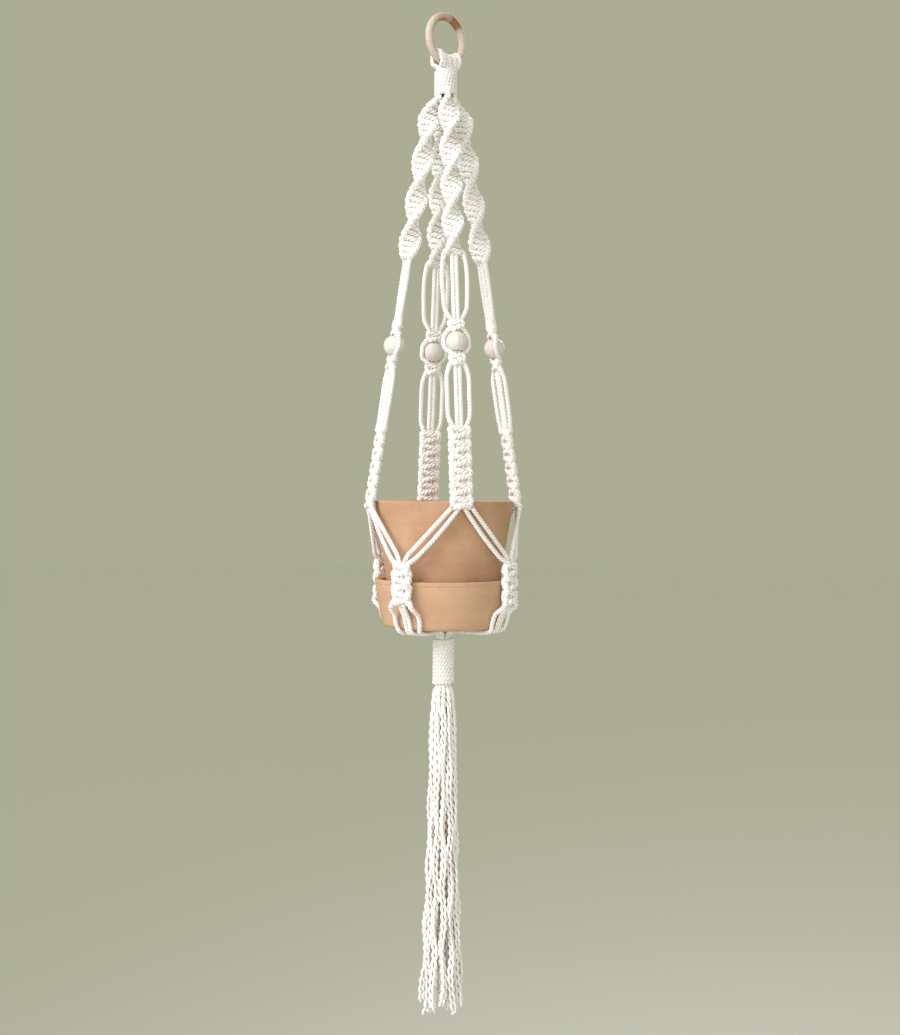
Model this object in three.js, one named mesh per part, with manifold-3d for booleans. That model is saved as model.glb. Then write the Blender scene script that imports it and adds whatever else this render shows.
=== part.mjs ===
// Hanging macrame planter: a wooden ring, a knotted cotton hanger with four beaded arms, and a terracotta pot
// standing in a deep saucer. Millimetres, +Z up. The origin is the point where a hook carries the ring, at the
// top of the ring's hole, and the ring's flat faces look along Y.
// Each arm is built hanging on the -Y side and then turned about Z to its own direction.
import * as THREE from "three";
import { mergeVertices } from "three/addons/utils/BufferGeometryUtils.js";
import Module from "manifold-3d";

const wasm = await Module();
wasm.setup();

// ---- Shared clearances ----
const gap = 0.3; // air between solids that touch on the real object
const swingClearance = 2.2; // play of the folded cords round the ring
const rimClearance = 1; // play between the pot's rim and the arms
const saucerRimClearance = 9.4; // air round the pot inside the saucer's rim
const saucerFootClearance = 7; // and round the pot's foot
const strandClearance = 0.8; // between the tassel's strands where they leave the wrap
const beadPlay = 1.2; // between a bead and the knots that hold it
const beadBoreClearance = 0.35;

// ---- Cord and knots ----
const cordDiameter = 5.5;
const cordRadius = cordDiameter / 2;
const slantRoom = 0.4 * cordDiameter; // between a knot and the slanted end of a cord that leaves it
const fillerSpacing = 4.6; // between the centres of two fillers pressed together
const squareKnotWidth = 19;
const squareKnotThickness = 11;

// ---- Ring ----
const ringDiameter = 65;
const ringThickness = 9.5;

// ---- Folded cords and gathering wraps ----
const foldWidth = 33;
const foldNeckWidth = 26;
const topWrapDiameter = 28;
const bottomWrapDiameter = 26.5;
const wrapCordDiameter = 4.6;
const topWrapLength = 35.5;
const topWrapDrop = 2.5; // below the ring
const bottomWrapLength = 60;

// ---- Arms, from top to bottom ----
const armTurn = -31; // degrees from the ring's front to the first arm
const sennitWidth = 28;
const sennitThickness = 11.5;
const neckRadius = 9; // arm centre from the axis where it leaves the top wrap
const shoulderRadius = 20;
const shoulderDrop = 24.5; // below the top wrap
const spiralLength = 195.5;
const frontHalfTurn = 44; // length of half a turn of the spiral on the front and back arms
const sideHalfTurn = 49.5;
const upperLooseLength = 77.2;
const upperKnotHeight = 14;
const beadDiameter = 25;
const beadRadiusFromAxis = 62;
const lowerKnotHeight = 15;
const lowerLooseLength = 70;
const flatSennitLength = 97;
const flatSennitWidth = 25;
const flatSennitThickness = 9.5;
const flatSennitKnots = 6;

// ---- Pot and saucer ----
const potRimDiameter = 166;
const potFootDiameter = 123;
const potHeight = 144.5;
const rimEdge = 1.5; // softened edge of the pot's and the saucer's rim and foot
const potWall = 6;
const potFloor = 8;
const potDrainDiameter = 18;
const sennitBelowRim = 9.5; // the flat sennits end this far under the pot's rim
const saucerHeight = 57.5;
const saucerWall = 5;
const saucerFloor = 6;
const saucerFootRounding = 7;

// ---- Net under and round the pot ----
const netKnotLength = 50;
const netKnotWidth = 25;
const netKnotThickness = 11.5;
const netKnotAboveRim = 23.5; // above the saucer's rim
const netKnotBumps = 3;
const gatherRadius = 4; // where the cords under the saucer end

// ---- Gathering wrap and tassel under the saucer ----
const gatherDrop = 1.2; // from the cords under the saucer to the pivot of the gather
const gatherNeck = 2.5; // from that pivot to the top of the gathered strands
const wrapNeck = 5; // from that pivot to the top of the bottom wrap
const tasselSwingRoom = 4.6; // from the bottom wrap to the top of the tassel's strands

// ---- Heights that follow, from the ring down ----
const ringRadius = (ringDiameter - ringThickness) / 2;
const ringTubeRadius = ringThickness / 2;
const ringCentreZ = -(ringRadius - ringTubeRadius);
const ringPivotZ = ringCentreZ - ringRadius; // centre line of the ring's lowest stretch
const topWrapTopZ = ringPivotZ - ringTubeRadius - topWrapDrop;
const spiralTopZ = topWrapTopZ - topWrapLength - gap;
const shoulderZ = spiralTopZ - shoulderDrop;
const spiralEndZ = spiralTopZ - spiralLength;
const upperKnotTopZ = spiralEndZ - upperLooseLength;
const pairWidth = fillerSpacing + cordDiameter;
const beadBore = pairWidth + 2 * beadBoreClearance;
const beadHalfHeight = Math.sqrt(beadDiameter ** 2 - beadBore ** 2) / 2;
const beadCentreZ = upperKnotTopZ - upperKnotHeight - beadHalfHeight - beadPlay;
const lowerKnotTopZ = beadCentreZ - beadHalfHeight - beadPlay;
const flatTopZ = lowerKnotTopZ - lowerKnotHeight - lowerLooseLength;
const flatEndZ = flatTopZ - flatSennitLength;
const potRimZ = flatEndZ + sennitBelowRim;
const potFootZ = potRimZ - potHeight;
const saucerFootZ = potFootZ - gap - saucerFloor;
const saucerRimZ = saucerFootZ + saucerHeight;
const saucerFootDiameter = potFootDiameter + 2 * (saucerFootClearance + saucerWall);
const saucerRimDiameter = 2 * (potRadius(saucerRimZ) + saucerRimClearance + saucerWall);
const netKnotTopZ = saucerRimZ + netKnotAboveRim;
const netKnotEndZ = netKnotTopZ - netKnotLength;
const baseCordZ = saucerFootZ - cordRadius - 2 * gap;
const gatherPivotZ = baseCordZ - cordRadius - gatherDrop;
const bottomWrapTopZ = gatherPivotZ - wrapNeck;
const bottomWrapEndZ = bottomWrapTopZ - bottomWrapLength;
const tasselTopZ = bottomWrapEndZ - tasselSwingRoom;

const rimHeightRadius = potRimDiameter / 2 + rimClearance + flatSennitThickness / 2;
const lowerLean = (rimHeightRadius - beadRadiusFromAxis) / (beadCentreZ - potRimZ);
const flatEndRadius = rimHeightRadius + lowerLean * sennitBelowRim;

// ---- Materials ----
function material(color, roughness) {
  return new THREE.MeshStandardMaterial({ color, roughness, metalness: 0 });
}
const cotton = () => material(0xf0ede6, 0.95);
const beech = () => material(0xdcc7b2, 0.55);
const beadWood = () => material(0xe6ded4, 0.6);
const terracotta = () => material(0xc2936c, 0.85);

// ---- Geometry helpers ----
function mix(a, b, t) {
  return a + (b - a) * t;
}

// A value read off straight lines between [z, value] stations that go down in z.
function alongStations(stations, z) {
  const last = stations.length - 2;
  const found = stations.findIndex((s, i) => i <= last && z >= stations[i + 1][0]);
  const i = found < 0 ? last : found;
  const [z0, v0] = stations[i];
  const [z1, v1] = stations[i + 1];
  return mix(v0, v1, (z0 - z) / (z0 - z1));
}

// A geometry left with nothing but its positions, with shared corners merged.
function welded(geometry) {
  const bare = geometry.index ? geometry.toNonIndexed() : geometry.clone();
  bare.deleteAttribute("normal");
  bare.deleteAttribute("uv");
  return mergeVertices(bare, 1e-3);
}

function toSolid(geometry) {
  const shell = welded(geometry);
  return new wasm.Manifold(
    new wasm.Mesh({
      numProp: 3,
      vertProperties: shell.attributes.position.array,
      triVerts: new Uint32Array(shell.index.array),
    }),
  );
}

function toGeometry(solid) {
  const mesh = solid.getMesh();
  const geometry = new THREE.BufferGeometry();
  geometry.setAttribute("position", new THREE.BufferAttribute(mesh.vertProperties, 3));
  geometry.setIndex(new THREE.BufferAttribute(mesh.triVerts, 1));
  geometry.computeVertexNormals();
  return geometry;
}

function joined(geometries) {
  return toGeometry(geometries.map(toSolid).reduce((all, next) => all.add(next)));
}

function cutFrom(geometry, tool) {
  return toGeometry(toSolid(geometry).subtract(toSolid(tool)));
}

function ellipse(width, thickness, sides) {
  return Array.from({ length: sides }, (_, i) => {
    const angle = (2 * Math.PI * i) / sides;
    return new THREE.Vector2((width / 2) * Math.cos(angle), (thickness / 2) * Math.sin(angle));
  });
}

// The outline of two cords pressed side by side, grown by a clearance.
function pairOutline(clearance) {
  const radius = cordRadius + clearance;
  const perEnd = 5;
  const points = [];
  for (const side of [1, -1]) {
    for (let i = 0; i < perEnd; i += 1) {
      const angle = Math.PI * (i / (perEnd - 1) - 0.5);
      const x = fillerSpacing / 2 + radius * Math.cos(angle);
      points.push(new THREE.Vector2(side * x, side * radius * Math.sin(angle)));
    }
  }
  return points;
}

// A prism of the outline whose points (u, v, t), with t from 0 to 1 along it, are moved to place(u, v, t).
function bentPrism(outline, steps, place) {
  const shape = new THREE.Shape().setFromPoints(outline);
  const prism = new THREE.ExtrudeGeometry(shape, { depth: 1, steps, bevelEnabled: false });
  const position = prism.attributes.position;
  for (let i = 0; i < position.count; i += 1) {
    const moved = place(position.getX(i), position.getY(i), position.getZ(i));
    position.setXYZ(i, moved.x, moved.y, moved.z);
  }
  prism.computeVertexNormals();
  return prism;
}

// A round cord through the given points.
function cordAlong(points, steps, sides = 6) {
  const curve = new THREE.CatmullRomCurve3(points, false, "centripetal");
  const section = new THREE.Shape().setFromPoints(ellipse(cordDiameter, cordDiameter, sides));
  return new THREE.ExtrudeGeometry(section, { steps, extrudePath: curve, bevelEnabled: false });
}

// A body of revolution about Z. The profile is a list of [radius, z], up its outside and down its inside.
function turned(profile, segments) {
  const points = profile.map(([radius, z]) => new THREE.Vector2(radius, z));
  return new THREE.LatheGeometry(points, segments).rotateX(Math.PI / 2);
}

function addPart(parent, name, geometry, finish) {
  const mesh = new THREE.Mesh(geometry, finish);
  mesh.name = name;
  parent.add(mesh);
}

// A group turned about Z, in which -Y is the direction that is worked in.
function turnedGroup(parent, degrees) {
  const group = new THREE.Group();
  group.rotation.z = THREE.MathUtils.degToRad(degrees);
  parent.add(group);
  return group;
}

// ---- Shared places ----
const armStations = [
  [spiralTopZ, neckRadius],
  [shoulderZ, shoulderRadius],
  [beadCentreZ, beadRadiusFromAxis],
  [flatEndZ, flatEndRadius],
];
const armRadius = (z) => alongStations(armStations, z);

// A point of an arm: u is to the side of its centre line and v outwards.
function onArm(u, z, v = 0) {
  return new THREE.Vector3(u, -(armRadius(z) + v), z);
}

function potRadius(z) {
  return mix(potFootDiameter, potRimDiameter, (z - potFootZ) / potHeight) / 2;
}

function saucerRadius(z) {
  return mix(saucerFootDiameter, saucerRimDiameter, (z - saucerFootZ) / saucerHeight) / 2;
}

// Outside of the pot or the saucer, whichever is wider at that height.
function vesselRadius(z) {
  return z <= saucerRimZ ? Math.max(potRadius(z), saucerRadius(z)) : potRadius(z);
}

// ---- Ring, folded cords and top wrap ----
function hangingRing() {
  const tubeSides = 8;
  const segments = 32;
  const ring = new THREE.TorusGeometry(ringRadius, ringTubeRadius, tubeSides, segments);
  return ring.rotateX(Math.PI / 2).translate(0, 0, ringCentreZ);
}

// The band of eight cords laid side by side along the ring, scalloped outside, open underneath.
function foldedCords() {
  const cords = 8;
  const innerRadius = ringTubeRadius + swingClearance;
  const pitch = foldWidth / cords;
  const groove = cordDiameter * 0.78;
  const outline = [new THREE.Vector2(-foldWidth / 2, 0), new THREE.Vector2(foldWidth / 2, 0)];
  for (let i = 0; i < cords; i += 1) {
    const x = foldWidth / 2 - i * pitch;
    outline.push(new THREE.Vector2(x, groove));
    outline.push(new THREE.Vector2(x - pitch / 2, cordDiameter));
  }
  outline.push(new THREE.Vector2(-foldWidth / 2, groove));
  const legLength = ringPivotZ - topWrapTopZ - gap;
  const archLength = Math.PI * innerRadius;
  const pathLength = archLength + 2 * legLength;
  const neckShare = foldNeckWidth / foldWidth;
  // The path goes up one leg, over the ring and down the other leg.
  return bentPrism(outline, 14, (u, v, t) => {
    const s = t * pathLength - legLength;
    const angle = THREE.MathUtils.clamp(s / innerRadius, 0, Math.PI);
    const down = s < 0 ? -s : Math.max(0, s - archLength);
    const legShare = down / legLength;
    const radius = innerRadius + v;
    const alongRing = u / ringRadius;
    const fromRingCentre = ringRadius - radius * Math.sin(angle);
    const rise = ringRadius * (1 - Math.cos(alongRing));
    const x = fromRingCentre * Math.sin(alongRing) * mix(1, neckShare, legShare);
    const y = radius * Math.cos(angle);
    const z = ringCentreZ - fromRingCentre * Math.cos(alongRing) - down - rise * legShare;
    return new THREE.Vector3(x, y, z);
  });
}

// A sleeve of tightly wound cord with rounded ends.
function gatheringWrap(topZ, length, diameter) {
  const outer = diameter / 2;
  const inner = outer - wrapCordDiameter;
  const rounding = wrapCordDiameter / 2;
  const endZ = topZ - length;
  const profile = [
    [inner, endZ],
    [outer - rounding / 2, endZ],
    [outer, endZ + rounding],
    [outer, topZ - rounding],
    [outer - rounding / 2, topZ],
    [inner, topZ],
    [inner, endZ],
  ];
  return turned(profile, 20);
}

// The sixteen strands pressed together inside a wrap of that diameter.
function gatheredStrands(topZ, endZ, wrapDiameter) {
  const radius = wrapDiameter / 2 - wrapCordDiameter - gap;
  const profile = [
    [0, endZ],
    [radius, endZ],
    [radius, topZ],
    [0, topZ],
  ];
  return turned(profile, 16);
}

// ---- Arm pieces ----
// A flat ribbon of half knots that turns as it goes down, ending flat across the arm. Close to the axis it
// is pinched to its own quarter, so that the four ribbons lie side by side.
function spiralSennit(halfTurn) {
  const length = spiralTopZ - spiralEndZ;
  const quarterShare = Math.SQRT1_2;
  return bentPrism(ellipse(2, 2, 8), 20, (u, v, t) => {
    const z = spiralEndZ + t * length;
    const radius = armRadius(z);
    const room = quarterShare * radius - gap;
    const a = u * Math.min(sennitWidth / 2, room);
    const b = v * Math.min(sennitThickness / 2, room);
    const angle = (Math.PI * (z - spiralEndZ)) / halfTurn;
    const x = a * Math.cos(angle) - b * Math.sin(angle);
    const y = a * Math.sin(angle) + b * Math.cos(angle);
    return new THREE.Vector3(x, y - radius, z);
  });
}

// A prism that follows the arm from fromZ down to toZ.
function prismOnArm(outline, steps, fromZ, toZ, swell = () => 1) {
  return bentPrism(outline, steps, (u, v, t) => onArm(u * swell(t), mix(fromZ, toZ, t), v));
}

// The two fillers, running side by side from the spiral to the flat sennit, through the bead.
function fillerPair() {
  return prismOnArm(pairOutline(0), 4, spiralEndZ - gap, flatTopZ + gap);
}

// A square knot tied round the fillers, with the passage that they run through.
function squareKnot(topZ, height) {
  const outline = ellipse(squareKnotWidth, squareKnotThickness, 8);
  const block = prismOnArm(outline, 2, topZ, topZ - height);
  const passage = prismOnArm(pairOutline(gap), 1, topZ + 1, topZ - height - 1);
  return cutFrom(block, passage);
}

// The two working cords and the two square knots that hold the bead between them.
function beadCords() {
  const besideFillers = pairWidth / 2 + cordRadius + gap;
  const besideBead = beadDiameter / 2 + cordRadius + gap;
  const upperKnotZ = upperKnotTopZ - upperKnotHeight / 2;
  const lowerKnotZ = lowerKnotTopZ - lowerKnotHeight / 2;
  // Distance to the side, and height, of a working cord. The curve is mirrored for the other one.
  const route = [
    [9, spiralEndZ - slantRoom],
    [14, spiralEndZ - 16],
    [15, spiralEndZ - 38],
    [11, upperKnotTopZ + 8],
    [besideFillers, upperKnotZ],
    [besideBead - 1.4, beadCentreZ + 8.5],
    [besideBead, beadCentreZ],
    [besideBead - 1.4, beadCentreZ - 8.5],
    [besideFillers, lowerKnotZ],
    [11.5, lowerKnotTopZ - lowerKnotHeight - 8],
    [13, mix(lowerKnotTopZ - lowerKnotHeight, flatTopZ, 0.5)],
    [10, flatTopZ + slantRoom],
  ];
  const cords = [1, -1].map((side) => {
    const points = route.map(([u, z]) => onArm(side * u, z));
    return cordAlong(points, 15);
  });
  const knots = [
    squareKnot(upperKnotTopZ, upperKnotHeight),
    squareKnot(lowerKnotTopZ, lowerKnotHeight),
  ];
  return joined([...cords, ...knots]);
}

// A round bead bored for the two fillers, tilted with the arm.
function bead() {
  const radius = beadDiameter / 2;
  const bore = beadBore / 2;
  const endAngle = Math.acos(bore / radius);
  const arcs = 6;
  const profile = [];
  for (let i = 0; i <= arcs; i += 1) {
    const angle = mix(-endAngle, endAngle, i / arcs);
    profile.push([radius * Math.cos(angle), radius * Math.sin(angle)]);
  }
  profile.push(profile[0]);
  const above = onArm(0, beadCentreZ + 1);
  const tilt = new THREE.Quaternion().setFromUnitVectors(
    new THREE.Vector3(0, 0, 1),
    above.clone().sub(onArm(0, beadCentreZ - 1)).normalize(),
  );
  const place = onArm(0, beadCentreZ);
  return turned(profile, 16).applyQuaternion(tilt).translate(place.x, place.y, place.z);
}

// The flat ribbon of square knots against the pot's rim, with a bulge for each knot.
function flatSennit() {
  const outline = ellipse(flatSennitWidth, flatSennitThickness, 8);
  const swell = (t) => 0.96 + 0.04 * Math.abs(Math.sin(Math.PI * flatSennitKnots * t));
  return prismOnArm(outline, flatSennitKnots * 2, flatTopZ, flatEndZ, swell);
}

function addArm(parent, place, degrees, halfTurn) {
  const arm = turnedGroup(parent, degrees);
  addPart(arm, `spiral_sennit_${place}`, spiralSennit(halfTurn), cotton());
  addPart(arm, `filler_pair_${place}`, fillerPair(), cotton());
  addPart(arm, `bead_cords_${place}`, beadCords(), cotton());
  addPart(arm, `bead_${place}`, bead(), beadWood());
  addPart(arm, `flat_sennit_${place}`, flatSennit(), cotton());
}

// ---- Net pieces ----
const netClearance = gap + netKnotThickness / 2;
const netStations = [
  [netKnotTopZ, vesselRadius(netKnotTopZ) + netClearance],
  [saucerRimZ, saucerRimDiameter / 2 + netClearance],
  [netKnotEndZ, vesselRadius(netKnotEndZ) + netClearance],
];
const netTopRadius = Math.max(...netStations.map(([, radius]) => radius));

// Four cords that come two by two from the neighbouring arms and meet on top of a net knot.
function netCords() {
  const endZ = netKnotTopZ + slantRoom;
  const startZ = flatEndZ - slantRoom;
  const steps = 5;
  const quarter = Math.PI / 4;
  const meet = [cordRadius / 2, cordRadius / 2 + fillerSpacing];
  const leave = [flatSennitWidth / 2 - cordRadius - 0.4, cordRadius + 0.2];
  const cords = [];
  for (const side of [1, -1]) {
    for (const i of [0, 1]) {
      const start = new THREE.Vector2(side * leave[i], -flatEndRadius);
      start.rotateAround(new THREE.Vector2(), -side * quarter);
      const end = new THREE.Vector2(-side * meet[i], -netTopRadius);
      const points = [];
      for (let step = 0; step <= steps; step += 1) {
        const t = step / steps;
        const z = mix(startZ, endZ, t);
        const flat = start.clone().lerp(end, t);
        const outside = vesselRadius(z) + cordRadius + 2 * gap;
        flat.setLength(Math.max(outside, flat.length()));
        points.push(new THREE.Vector3(flat.x, flat.y, z));
      }
      cords.push(cordAlong(points, steps));
    }
  }
  return joined(cords);
}

// A short stack of square knots that binds two neighbouring arms beside the saucer's rim.
function netKnot() {
  const outline = ellipse(netKnotWidth, netKnotThickness, 8);
  return bentPrism(outline, netKnotBumps * 2, (u, v, t) => {
    const z = mix(netKnotTopZ, netKnotEndZ, t);
    const swell = 0.9 + 0.1 * Math.abs(Math.sin(Math.PI * netKnotBumps * t));
    return new THREE.Vector3(u * swell, -(netTopRadius + v), z);
  });
}

// Four cords from a net knot down the saucer's wall and in under its foot.
function baseCords() {
  const startZ = netKnotEndZ - slantRoom;
  const reach = cordRadius + gap + 1.2;
  const footEdge = saucerFootDiameter / 2 - saucerFootRounding;
  const turnZ = saucerFootZ + saucerFootRounding;
  const turnRadius = saucerFootRounding + reach;
  const diagonal = turnRadius * Math.SQRT1_2;
  const wallZ = mix(startZ, turnZ, 0.5);
  // Distance to the side, distance from the axis, and height, for a cord of each kind.
  const inner = [
    [fillerSpacing / 2, netTopRadius, startZ],
    [fillerSpacing / 2, saucerRadius(wallZ) + reach + 2, wallZ],
    [fillerSpacing / 2, footEdge + turnRadius + 0.8, turnZ],
    [fillerSpacing / 2, footEdge + diagonal, turnZ - diagonal],
    [fillerSpacing / 2, footEdge, baseCordZ],
    [fillerSpacing / 2, 30, baseCordZ],
    [fillerSpacing / 2, gatherRadius + pairWidth / 2, baseCordZ],
  ];
  const outer = [
    [8, netTopRadius, startZ],
    [15, saucerRadius(wallZ) + reach + 1, wallZ],
    [15.5, footEdge + turnRadius, turnZ],
    [14.5, footEdge + diagonal - 0.8, turnZ - diagonal],
    [13.5, footEdge, baseCordZ],
    [8.6, 30, baseCordZ],
    [6.6, 14, baseCordZ],
  ];
  const cords = [];
  for (const side of [1, -1]) {
    for (const route of [inner, outer]) {
      const points = route.map(([u, radius, z]) => new THREE.Vector3(side * u, -radius, z));
      cords.push(cordAlong(points, 11));
    }
  }
  return joined(cords);
}

function addNetCorner(parent, place, degrees) {
  const corner = turnedGroup(parent, degrees);
  addPart(corner, `net_cords_${place}`, netCords(), cotton());
  addPart(corner, `net_knot_${place}`, netKnot(), cotton());
  addPart(corner, `base_cords_${place}`, baseCords(), cotton());
}

// ---- Pot and saucer ----
function pot() {
  const rim = potRimDiameter / 2;
  const foot = potFootDiameter / 2;
  const drain = potDrainDiameter / 2;
  const floorZ = potFootZ + potFloor;
  const profile = [
    [drain, potFootZ],
    [foot - rimEdge, potFootZ],
    [potRadius(potFootZ + rimEdge), potFootZ + rimEdge],
    [rim, potRimZ - rimEdge],
    [rim - rimEdge, potRimZ],
    [rim - potWall, potRimZ],
    [potRadius(floorZ) - potWall, floorZ],
    [drain, floorZ],
    [drain, potFootZ],
  ];
  return turned(profile, 36);
}

function saucer() {
  const foot = saucerFootDiameter / 2;
  const rim = saucerRimDiameter / 2;
  const floorZ = saucerFootZ + saucerFloor;
  const arcs = 3;
  const profile = [[0, saucerFootZ]];
  for (let i = 0; i <= arcs; i += 1) {
    const angle = (Math.PI / 2) * (i / arcs);
    const radius = foot - saucerFootRounding * (1 - Math.sin(angle));
    profile.push([radius, saucerFootZ + saucerFootRounding * (1 - Math.cos(angle))]);
  }
  profile.push([rim, saucerRimZ - rimEdge]);
  profile.push([rim - rimEdge, saucerRimZ]);
  profile.push([rim - saucerWall, saucerRimZ]);
  profile.push([saucerRadius(floorZ) - saucerWall, floorZ]);
  profile.push([0, floorZ]);
  return turned(profile, 36);
}

// ---- Tassel ----
// Each strand's direction in degrees, its distance from the axis at the top and at the tip, in widths of a
// strand, the height that it reaches below the wrap, and where in its wave it starts, in degrees.
const tasselStrands = [
  [10, 0.85, 1.8, 384, 0],
  [82, 0.85, 1.7, 378, 140],
  [154, 0.85, 1.9, 389, 60],
  [226, 0.85, 1.8, 376, 130],
  [298, 0.85, 1.7, 386, 190],
  [0, 1.8, 3.4, 379, 30],
  [33, 1.8, 3.7, 387, 200],
  [65, 1.8, 3.3, 375, 90],
  [98, 1.8, 3.5, 383, 310],
  [131, 1.8, 3.8, 377, 150],
  [164, 1.8, 3.4, 388, 20],
  [196, 1.8, 3.7, 381, 240],
  [229, 1.8, 3.3, 374, 120],
  [262, 1.8, 3.5, 385, 330],
  [295, 1.8, 3.4, 378, 70],
  [327, 1.8, 3.7, 382, 280],
];

// A limp strand: it leaves the wrap, spreads, and hangs in slack waves to its cut tip.
function tasselStrand([direction, topWidths, tipWidths, length, phase]) {
  const radians = THREE.MathUtils.degToRad;
  const width = cordDiameter + strandClearance;
  const waveLength = 74;
  const waveHeight = 1.6;
  const slackLength = 190; // over which the waves grow
  const stations = 16;
  const points = [];
  for (let i = 0; i <= stations; i += 1) {
    const down = (length * i) / stations;
    const free = Math.min(1, down / slackLength);
    const spread = mix(down / length, (down / length) ** 4, 0.4);
    const radius = width * mix(topWidths, tipWidths, spread);
    const wave = radians(phase) + (2 * Math.PI * down) / waveLength;
    const out = radius + waveHeight * free * Math.sin(wave);
    const aside = waveHeight * free * Math.cos(wave);
    const angle = radians(direction);
    const x = out * Math.cos(angle) - aside * Math.sin(angle);
    const y = out * Math.sin(angle) + aside * Math.cos(angle);
    points.push(new THREE.Vector3(x, y, tasselTopZ - down));
  }
  return cordAlong(points, 12, 8);
}

// ---- Assembly ----
const planter = new THREE.Group();

addPart(planter, "hanging_ring", hangingRing(), beech());
addPart(planter, "ring_loops", foldedCords(), cotton());
const topWrap = gatheringWrap(topWrapTopZ, topWrapLength, topWrapDiameter);
const topStrands = gatheredStrands(topWrapTopZ, topWrapTopZ - topWrapLength, topWrapDiameter);
addPart(planter, "top_wrap", topWrap, cotton());
addPart(planter, "top_strands", topStrands, cotton());

const armPlaces = ["front", "right", "back", "left"];
armPlaces.forEach((place, i) => {
  const halfTurn = i % 2 === 0 ? frontHalfTurn : sideHalfTurn;
  addArm(planter, place, armTurn + 90 * i, halfTurn);
});

const cornerPlaces = ["front_right", "back_right", "back_left", "front_left"];
cornerPlaces.forEach((place, i) => addNetCorner(planter, place, armTurn + 45 + 90 * i));

addPart(planter, "pot", pot(), terracotta());
addPart(planter, "saucer", saucer(), terracotta());

const bottomWrap = gatheringWrap(bottomWrapTopZ, bottomWrapLength, bottomWrapDiameter);
const bottomStrands = gatheredStrands(gatherPivotZ - gatherNeck, bottomWrapEndZ, bottomWrapDiameter);
addPart(planter, "bottom_wrap", bottomWrap, cotton());
addPart(planter, "bottom_strands", bottomStrands, cotton());

tasselStrands.forEach((strand, i) => {
  const name = `tassel_strand_${String(i + 1).padStart(2, "0")}`;
  addPart(planter, name, tasselStrand(strand), cotton());
});

export default planter;
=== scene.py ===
import math

import bpy
import numpy as np
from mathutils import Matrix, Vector


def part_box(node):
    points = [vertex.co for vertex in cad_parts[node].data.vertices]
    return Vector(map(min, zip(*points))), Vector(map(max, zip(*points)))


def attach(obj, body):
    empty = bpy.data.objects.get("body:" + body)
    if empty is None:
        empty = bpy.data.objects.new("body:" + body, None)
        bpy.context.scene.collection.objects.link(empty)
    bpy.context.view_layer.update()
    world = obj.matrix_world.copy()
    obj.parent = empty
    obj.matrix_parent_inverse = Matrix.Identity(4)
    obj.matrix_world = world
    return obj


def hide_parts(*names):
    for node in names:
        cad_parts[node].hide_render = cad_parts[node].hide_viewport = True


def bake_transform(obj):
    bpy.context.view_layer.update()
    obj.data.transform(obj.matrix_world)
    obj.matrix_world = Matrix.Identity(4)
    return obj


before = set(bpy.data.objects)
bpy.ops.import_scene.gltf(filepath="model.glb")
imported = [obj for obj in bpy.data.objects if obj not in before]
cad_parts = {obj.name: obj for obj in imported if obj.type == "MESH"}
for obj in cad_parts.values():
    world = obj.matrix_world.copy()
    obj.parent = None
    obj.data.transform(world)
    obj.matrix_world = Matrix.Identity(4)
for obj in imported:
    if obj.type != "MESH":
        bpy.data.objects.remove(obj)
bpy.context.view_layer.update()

# A hanging macrame planter. Lengths are in millimetres in the row frame until a mesh is made, and every
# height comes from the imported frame. Each arm and each corner of the net is worked in a frame of its own:
# u to the side, v outwards from its line, z up.

MM = 0.001
TAU = 2 * math.pi

# ---- Cord ----
CORD = 5.5
IN_SPIRAL = 7.4  # cords swell and flatten where they are bent hard round the fillers
IN_FLAT = 7.1
IN_NET_KNOT = 7.5
IN_SMALL_KNOT = 6.5
WRAP_CORD = 6.2
WRAP_LAY = 10.5
LAY = 13.5  # length in which a ply goes once round the cord
STEP = 1.3  # between rings of a cord's mesh
PAIR = 4.6  # between the centres of two fillers

# ---- Ring ----
RING_TUBE = 4.75  # half the thickness of the wood
RING_REACH = 27.75  # from the ring's centre to the middle of the wood

# ---- Arms ----
ARM_TURN = -31  # degrees from the ring's front to the first arm
ARMS = ("front", "right", "back", "left")
CORNERS = ("front_right", "back_right", "back_left", "front_left")
NECK_RADIUS = 9  # from the axis to the middle of an arm where it leaves the top wrap
NECK_ROOM = 0.66  # share of its full width that a spiral has there
LEAST_ROOM = 0.62  # and inside the wrap
WIDENING = 24  # length in which a spiral would gain its full width
SHOULDER_RADIUS = 20
SHOULDER_DROP = 24.2  # below the top wrap
HALF_TURN = {"front": 44.0, "right": 49.5, "back": 44.0, "left": 49.5}  # length of half a turn
SPIRAL_KNOTS = 29
LOOSE_TURN = {"front": 0, "right": 18, "back": 0, "left": 10}  # of the cords under a bead, degrees

# ---- Camera ----
CAMERA_AZIMUTH = -44.0
CAMERA_DISTANCE = 1650.0
CAMERA_HEIGHT = -566.0
CAMERA_LENS = 47.65
CAMERA_ROLL = -0.25
SHIFT_X = 0.0058
SHIFT_Y = -0.0257


def top_of(node):
    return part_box(node)[1].z / MM


def foot_of(node):
    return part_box(node)[0].z / MM


def middle_of(node):
    return (top_of(node) + foot_of(node)) / 2


def reach_of(node):
    """Distance from the axis to the middle of a node."""
    low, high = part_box(node)
    middle = (low + high) / 2
    return math.hypot(middle.x, middle.y) / MM


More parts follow.
